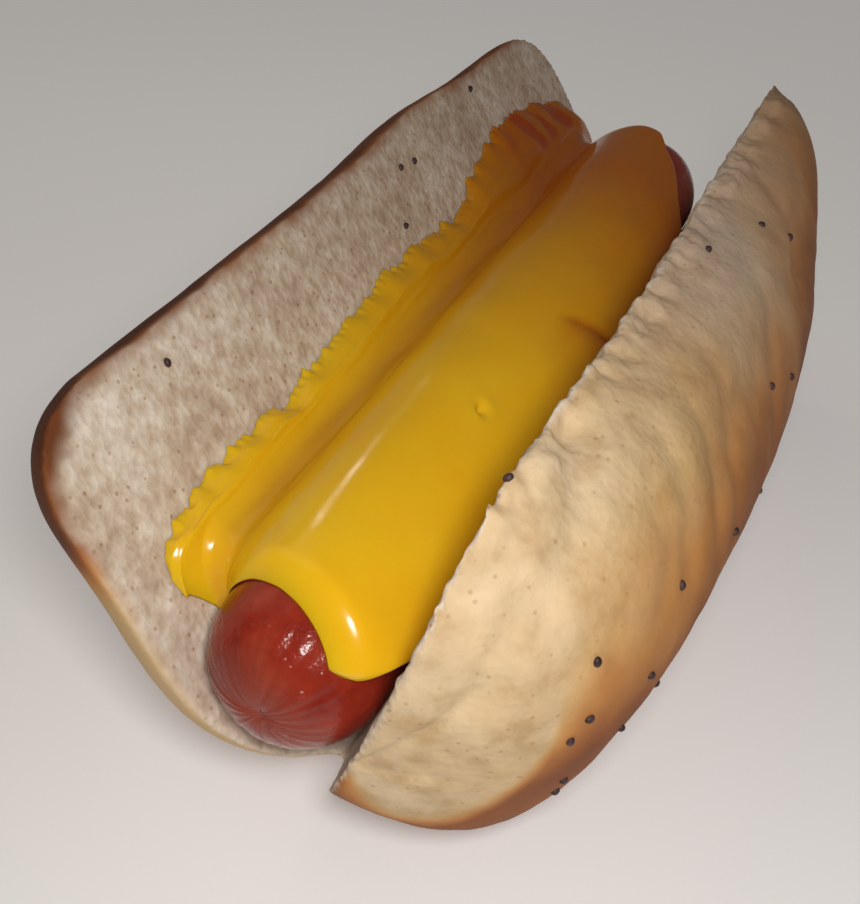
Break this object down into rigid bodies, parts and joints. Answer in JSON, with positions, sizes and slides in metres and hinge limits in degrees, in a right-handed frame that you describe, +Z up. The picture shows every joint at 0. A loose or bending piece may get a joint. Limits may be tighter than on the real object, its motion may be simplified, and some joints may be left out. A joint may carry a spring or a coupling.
{
  "type": "hot dog",
  "caption": "Hot dog: a side-cut bun with a few poppy seeds, lying open in a V round a frankfurter under a sheet of melted yellow cheese.",
  "frame": {"origin": "centre of the bounding box's bottom face, on the ground", "axes": "+X along the bun towards the end whose cheese runs out to the leaf's tip, +Y towards the leaf that shows its crumb, +Z up"},
  "size_m": [0.155, 0.0756, 0.0627],
  "materials": {
    "bun": "baked crust and crumb",
    "frankfurter": "moist skin",
    "cheese": "melted, glossy"
  },
  "bodies": {
    "root": {"bun": "bun", "frankfurter": "frankfurter", "cheese": "cheese"}
  },
  "joints": []
}
